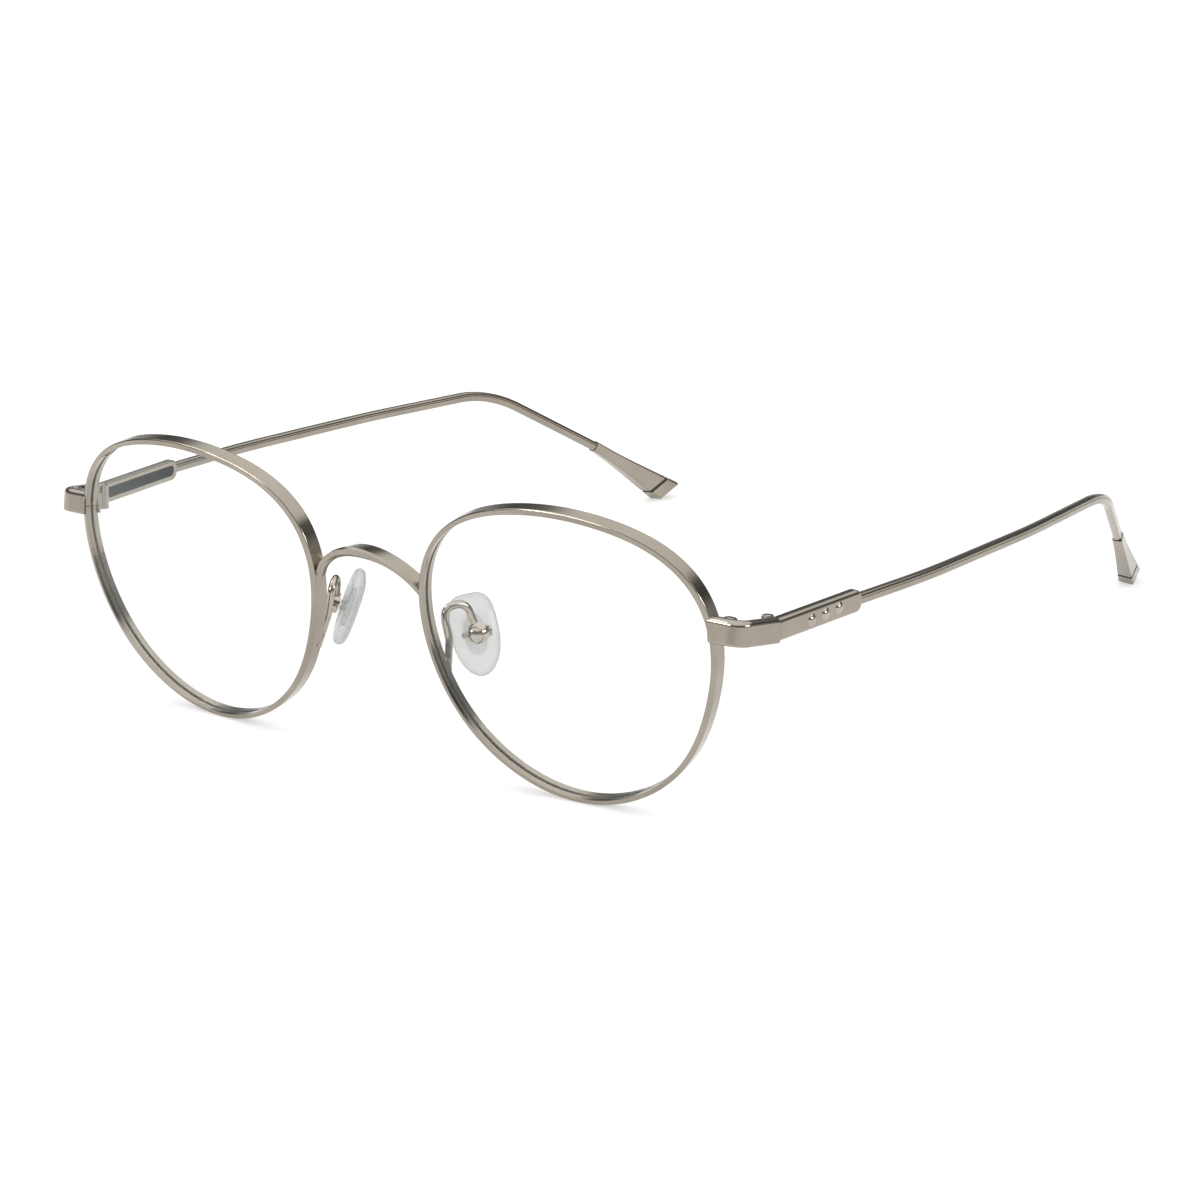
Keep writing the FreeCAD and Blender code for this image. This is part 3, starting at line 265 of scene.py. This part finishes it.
def make_nose_pads():
    """Clear pads on both pad bodies, the right one a mirror twin."""
    box_turn = turned("Z", PAD_TURN) @ turned("X", -PAD_TIP) @ turned("Y", -PAD_LEAN)
    place = Matrix.Translation(JOINTS["pad_tilt_left"]["pos_m"]) @ box_turn @ Matrix.Scale(MM, 4)
    points, faces = pad_mesh()
    points = [place @ p for p in points]
    for side in ("left", "right"):
        if side == "right":
            points, faces = mirrored(points, faces)
        new_piece(
            "silicone_pad_" + side, points, faces, silicone, "pad_" + side, "silicone",
            "nose_pad_" + side,
        )


# Temple wire, in mm in the hinge's frame: X outward, Y back, Z up.
TEMPLE_DROP = 2.25
WIRE_CORNERS = (
    Vector((2.7, 17.0, 0.78)),
    Vector((3.95, 38.0, 0.85)),
    Vector((3.1, 72.0, 0.85)),
    Vector((0.4, 103.2, 0.72)),
    Vector((-7.7, 126.1, -12.1)),
)
WIRE_BENDS = (180.0, 180.0, 28.0)
WIRE_THICKNESS = 1.45
WIRE_HEIGHT = 1.7
WIRE_CORNER = 0.5
GROOVE_RISE = 0.22
GROOVE_WIDTH = 0.16
GROOVE_DEPTH = 0.11
GROOVE_EDGE = 0.02
CORNER_STEPS = 6
ARC_STEPS = 24
SHARP_ANGLE = 35.0


def wire_path():
    """Points along the wire's middle line, straight runs joined by arcs."""
    path = [WIRE_CORNERS[0]]
    spans = zip(WIRE_CORNERS, WIRE_CORNERS[1:], WIRE_CORNERS[2:], WIRE_BENDS)
    for before, corner, after, radius in spans:
        inward = (corner - before).normalized()
        outward = (after - corner).normalized()
        turn = inward.angle(outward)
        reach = radius * math.tan(turn / 2)
        towards = (outward - inward).normalized()
        middle = corner + towards * (radius / math.cos(turn / 2))
        spoke = corner - inward * reach - middle
        axis = inward.cross(outward).normalized()
        for step in range(ARC_STEPS + 1):
            path.append(middle + Matrix.Rotation(turn * step / ARC_STEPS, 3, axis) @ spoke)
    path.append(WIRE_CORNERS[-1])
    return path


def wire_profile():
    """Half the outline from the bottom up the outer side, with its groove; then its mirror."""
    half_wide, half_high = WIRE_THICKNESS / 2, WIRE_HEIGHT / 2
    side = []
    for step in range(CORNER_STEPS + 1):
        angle = -math.pi / 2 + (math.pi / 2) * step / CORNER_STEPS
        side.append((
            half_wide - WIRE_CORNER + WIRE_CORNER * math.cos(angle),
            -half_high + WIRE_CORNER + WIRE_CORNER * math.sin(angle),
        ))
    low, high = GROOVE_RISE - GROOVE_WIDTH / 2, GROOVE_RISE + GROOVE_WIDTH / 2
    side += [
        (half_wide, low - GROOVE_EDGE),
        (half_wide, low),
        (half_wide - GROOVE_DEPTH, GROOVE_RISE),
        (half_wide, high),
        (half_wide, high + GROOVE_EDGE),
    ]
    for step in range(CORNER_STEPS + 1):
        angle = (math.pi / 2) * step / CORNER_STEPS
        side.append((
            half_wide - WIRE_CORNER + WIRE_CORNER * math.cos(angle),
            half_high - WIRE_CORNER + WIRE_CORNER * math.sin(angle),
        ))
    return side + [(-x, z) for x, z in reversed(side)]


def wire_mesh():
    """The profile swept along the path, with a cap at each end."""
    path = wire_path()
    profile = wire_profile()
    points = []
    for number, point in enumerate(path):
        ahead = path[min(number + 1, len(path) - 1)]
        behind = path[max(number - 1, 0)]
        along = (ahead - behind).normalized()
        across = along.cross(Vector((0, 0, 1))).normalized()
        upward = across.cross(along)
        points += [point + across * x + upward * z for x, z in profile]
    faces = [tuple(reversed(face)) for face in ring_faces(len(path), len(profile))]
    last = (len(path) - 1) * len(profile)
    faces.append(tuple(range(len(profile))))
    faces.append(tuple(reversed(range(last, last + len(profile)))))
    return points, faces


def make_wires():
    """Grooved wires on both temples, the right one a mirror twin."""
    hinge = Matrix.Translation(JOINTS["temple_fold_left"]["pos_m"]) @ turned("X", -TEMPLE_DROP)
    place = hinge @ Matrix.Scale(MM, 4)
    points, faces = wire_mesh()
    points = [place @ p for p in points]
    for side in ("left", "right"):
        if side == "right":
            points, faces = mirrored(points, faces)
        wire = new_piece(
            "grooved_wire_" + side, points, faces, satin, "temple_" + side, "satin_metal",
            "temple_wire_" + side,
        )
        wire.data.set_sharp_from_angle(angle=math.radians(SHARP_ANGLE))


make_nose_pads()
make_wires()

# ---- floor, light and camera -------------------------------------------------------


# The floor's own light keeps the shadows on it faint.
FLOOR_GLOW = 0.5
FLOOR_SIZE = 6.0
FLOOR_GREY = 0.5
FLOOR_ROUGHNESS = 0.9


def make_floor():
    """A plain pale floor at the bottom of the object."""
    bpy.ops.mesh.primitive_plane_add(size=FLOOR_SIZE, location=(0, 0, cad_box[0].z))
    floor = bpy.context.object
    floor.name = "floor"
    material, _, shader = new_material("pale_floor")
    shader.inputs["Base Color"].default_value = (FLOOR_GREY, FLOOR_GREY, FLOOR_GREY, 1)
    shader.inputs["Roughness"].default_value = FLOOR_ROUGHNESS
    shader.inputs["Emission Color"].default_value = (1.0, 1.0, 1.0, 1)
    shader.inputs["Emission Strength"].default_value = FLOOR_GLOW
    floor.data.materials.append(material)


# Each light's place, its power in watts, and its width and height in metres.
LIGHTS = {
    "key": ((-0.35, -0.9, 0.45), 3.0, 0.5, 0.16),
    "side": ((0.9, 0.1, 0.35), 2.0, 0.5, 0.14),
    "strip": ((-0.54, -0.27, 0.79), 1.5, 0.5, 0.08),
}
LIT_POINT = Vector((0, 0, 0.02))


def area_light(name, at, power, width, height):
    """A rectangular light that looks at the middle of the object."""
    data = bpy.data.lights.new(name, "AREA")
    data.shape = "RECTANGLE"
    data.energy = power
    data.size = width
    data.size_y = height
    lamp = bpy.data.objects.new(name, data)
    bpy.context.scene.collection.objects.link(lamp)
    lamp.location = at
    lamp.rotation_euler = (LIT_POINT - Vector(at)).to_track_quat("-Z", "Y").to_euler()


# Brightness of the room against the height of the direction, from the horizon up.
WORLD_LEVELS = ((0.0, 0.20), (0.12, 0.30), (0.30, 0.06), (0.47, 0.12), (0.58, 0.85), (1.0, 1.0))
WORLD_STRENGTH = 1.5


def make_world():
    """A studio room that is bright above and dark round the horizon."""
    world = bpy.data.worlds.new("studio")
    bpy.context.scene.world = world
    world.use_nodes = True
    tree = world.node_tree
    back = tree.nodes["Background"]
    place = tree.nodes.new("ShaderNodeTexCoord")
    split = tree.nodes.new("ShaderNodeSeparateXYZ")
    ramp = tree.nodes.new("ShaderNodeValToRGB")
    tree.links.new(place.outputs["Generated"], split.inputs["Vector"])
    tree.links.new(split.outputs["Z"], ramp.inputs["Fac"])
    while len(ramp.color_ramp.elements) < len(WORLD_LEVELS):
        ramp.color_ramp.elements.new(0.5)
    for element, (height, level) in zip(ramp.color_ramp.elements, WORLD_LEVELS):
        element.position = height
        element.color = (level, level, level, 1)
    tree.links.new(ramp.outputs["Color"], back.inputs["Color"])
    back.inputs["Strength"].default_value = WORLD_STRENGTH


# The view in degrees, its place in metres, and the lens and its sensor in mm.
VIEW_AZIMUTH = 34.63
VIEW_ELEVATION = 16.92
VIEW_FROM = (0.29883, -0.44888, 0.17102)
FOCAL_LENGTH = 102.08
SENSOR_WIDTH = 36.0


def make_camera():
    """The camera at the rest view."""
    data = bpy.data.cameras.new("camera")
    data.lens = FOCAL_LENGTH
    data.sensor_width = SENSOR_WIDTH
    camera = bpy.data.objects.new("camera", data)
    bpy.context.scene.collection.objects.link(camera)
    camera.location = VIEW_FROM
    camera.rotation_euler = (math.radians(90 - VIEW_ELEVATION), 0, math.radians(VIEW_AZIMUTH))
    bpy.context.scene.camera = camera


make_floor()
make_world()
for name, (at, power, width, height) in LIGHTS.items():
    area_light(name, at, power, width, height)
make_camera()

scene = bpy.context.scene
scene.view_settings.view_transform = "Standard"
